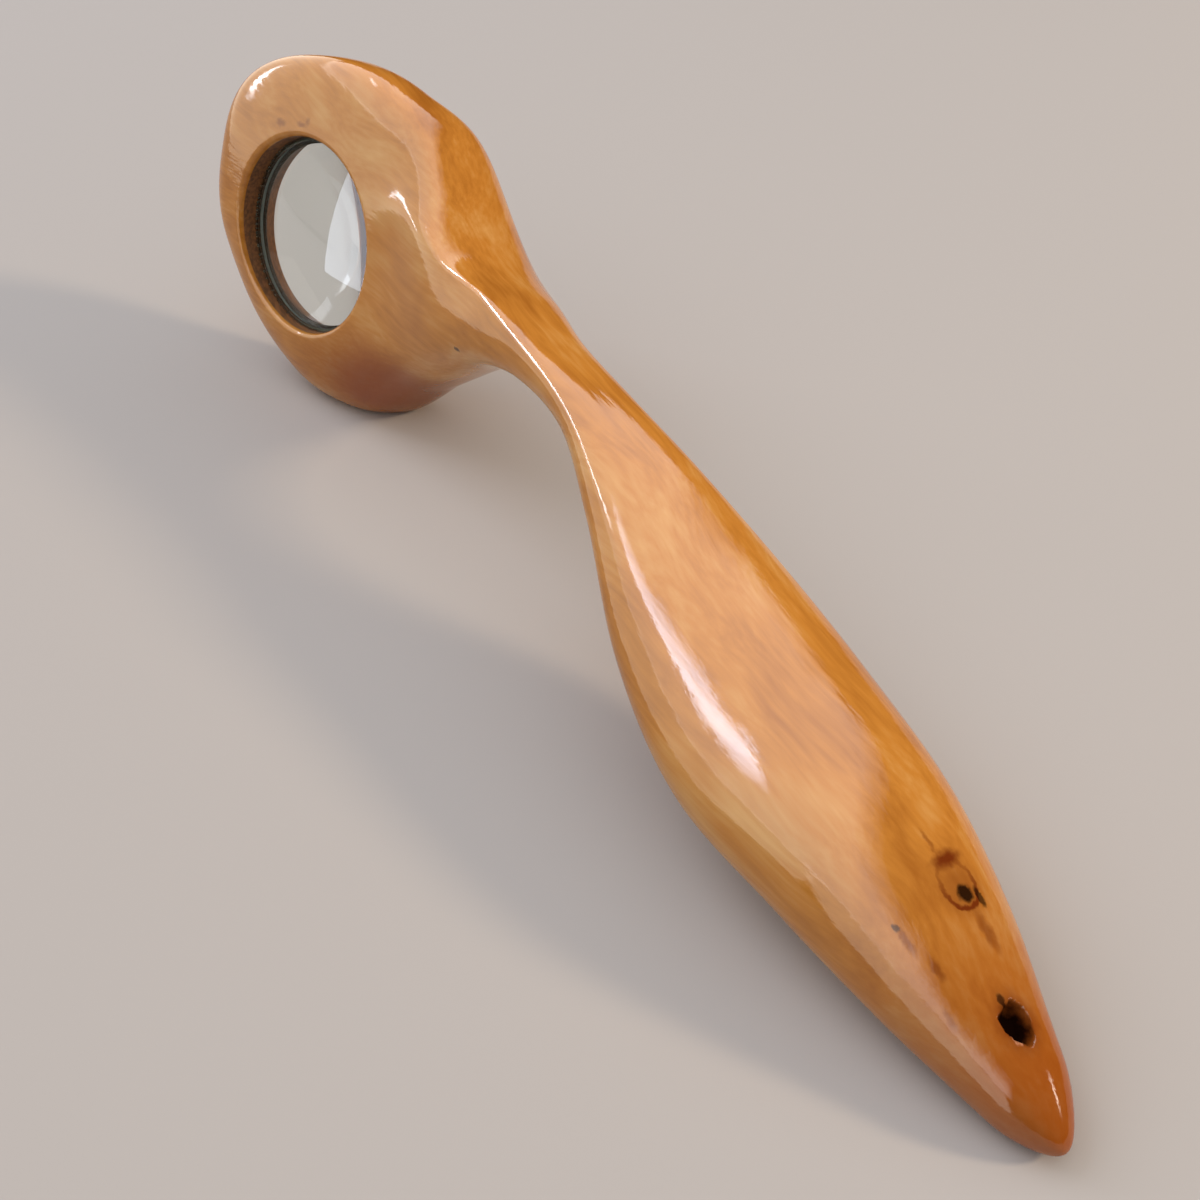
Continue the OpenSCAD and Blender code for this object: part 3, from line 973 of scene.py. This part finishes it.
def ceiling(name, height, right, colour_hex, radiance, left=1.3, near=1.8, **more):
    """A broad lamp overhead, whose straight edges lie the given distances in metres from the object."""
    lamp = area_lamp(name, (left + right, near + CEILING_FAR), colour_hex, radiance, **more)
    ahead, aside = bearing(CEILING_AZ, 0), bearing(CEILING_AZ + 90, 0)
    middle = ahead * (CEILING_FAR - near) / 2 + aside * (right - left) / 2
    lamp.location = middle + Vector((0, 0, height))
    lamp.rotation_euler = (0, 0, math.atan2(-ahead.x, ahead.y))


def only_on(name, piece):
    """The settings of a lamp that only puts a sheen on one piece."""
    group = bpy.data.collections.new(name)
    group.objects.link(bpy.data.objects[piece])
    return {"receiver": group, "visible_diffuse": False}


def hang_lamps():
    """Plain light on everything, and the pale room and windows that the gloss of the wood shows."""
    # These light everything, and don't show in the gloss.
    card("sun_lamp", (92, 29), (100, 29), 8, 1.5, "#FFE2BE", 85, visible_glossy=False)
    card("window_glow", (-75, 40), (-35, 40), 40, 1.6, "#EEF2FF", 2.5, visible_glossy=False)
    ceiling("ceiling", 1.2, 1.7, "#FFF6EE", 0.66, left=2.2, near=2.2, visible_glossy=False)

    # The bright ceiling, which ends softly over the object's right side, and two pale walls
    sheen = only_on("lacquered", "carved_wood")
    for i in range(SHEEN_SHEETS):
        name, height, right = f"ceiling_sheen_{i}", 1.15 - 0.01 * i, 0.26 + 0.07 * i
        ceiling(name, height, right, "#FFF5EE", 3.6 / SHEEN_SHEETS, **sheen)
    card("left_wall", (-125, 12), (-12, 12), 43, 2.4, "#FFF4E4", 2.4, **sheen)
    card("back_wall", (-162, 12), (-127, 12), 40, 2.2, "#FFF4E4", 2.6, **sheen)

    # Near, narrow lamps for the white glints: on the head, along the neck's ridge, where the ridge
    # runs out, on the belly of the handle and at the tip
    head, neck, ridge_end = (-108, -7, 58), (-4, -1, 39), (16, -4, 35)
    belly, tip = (56, -10, 25), (114, -1, 9)
    card("low_window", (-84, 10), (-42, 31), 3, 0.12, "#F2F6FF", 34, head, spread=36, **sheen)
    card("neck_window", (-4, 38), (-62, 52), 7, 0.18, "#F2F6FF", 75, neck, spread=42, **sheen)
    card("ridge_window", (-80, 58), (-58, 49), 6, 0.15, "#F2F6FF", 22, ridge_end, spread=36, **sheen)
    card("high_window", (-108, 53), (-6, 59), 8, 0.15, "#DCE8FF", 18, belly, spread=36, **sheen)
    card("glint_lamp", (92, 36), (114, 17), 3.5, 0.3, "#FFF0DC", 18, tip, spread=24, **sheen)

    # A tall window that stands in the right side of the lens
    shine = {**only_on("polished", "glass_lens"), "visible_transmission": False}
    card("lens_window", (-111, -22), (-111, 30), 22, 0.26, "#E4EFFF", 5, (-89, -6, 32), **shine)


def fill_shade(scene):
    """A dim even world, which the gloss doesn't show, so that the dark side keeps its deep colour."""
    world = bpy.data.worlds.new("world")
    world.use_nodes = True
    back = world.node_tree.nodes["Background"]
    back.inputs["Color"].default_value = rgba(srgb("#F0F0F4"))
    back.inputs["Strength"].default_value = 0.22
    world.cycles_visibility.glossy = False
    scene.world = world


class MAGNIFIER_OT_stage(bpy.types.Operator):
    """Set up the floor, the camera and the lamps"""
    bl_idname = "magnifier.stage"
    bl_label = "Stage"

    def execute(self, context):
        scene = context.scene
        corners = np.array([(-1, -1, 0), (1, -1, 0), (1, 1, 0), (-1, 1, 0)], float) * FLOOR_HALF
        floor = mesh_object("floor", corners, [(0, 1, 2, 3)])
        floor.data.materials.append(painted_floor(scene.magnifier.colours))

        camera = bpy.data.objects.new("camera", bpy.data.cameras.new("camera"))
        camera.data.lens = LENS_MM
        camera.data.sensor_width = FILM_MM
        camera.data.clip_start = 5 * MM
        camera.location = CAMERA_AT
        camera.rotation_euler = VIEW.to_track_quat("-Z", "Y").to_euler()
        scene.collection.objects.link(camera)
        scene.camera = camera

        hang_lamps()
        fill_shade(scene)
        scene.view_settings.view_transform = "Standard"
        return {"FINISHED"}


class MAGNIFIER_PT_sidebar(bpy.types.Panel):
    """Lists the pieces of the magnifier, with their sizes and colours"""
    bl_idname = "MAGNIFIER_PT_sidebar"
    bl_label = "Magnifier"
    bl_space_type = "VIEW_3D"
    bl_region_type = "UI"
    bl_category = "Magnifier"

    def draw(self, context):
        props = context.scene.magnifier
        for operator in OPERATORS:
            self.layout.operator(operator.bl_idname)
        for group in (props.body, props.lens, props.colours):
            column = self.layout.column(align=True)
            for name in group.__annotations__:
                column.prop(group, name)


OPERATORS = (MAGNIFIER_OT_wooden_body, MAGNIFIER_OT_lens, MAGNIFIER_OT_cements, MAGNIFIER_OT_stage)
CLASSES = (BodySizes, LensSizes, Colours, Magnifier, *OPERATORS, MAGNIFIER_PT_sidebar)


def register():
    for cls in CLASSES:
        bpy.utils.register_class(cls)
    bpy.types.Scene.magnifier = PointerProperty(type=Magnifier)


def unregister():
    del bpy.types.Scene.magnifier
    for cls in reversed(CLASSES):
        bpy.utils.unregister_class(cls)


def main():
    """Registers the classes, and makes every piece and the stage."""
    register()
    bpy.ops.magnifier.wooden_body()
    bpy.ops.magnifier.lens()
    bpy.ops.magnifier.cements()
    bpy.ops.magnifier.stage()


if __name__ == "__main__":
    main()
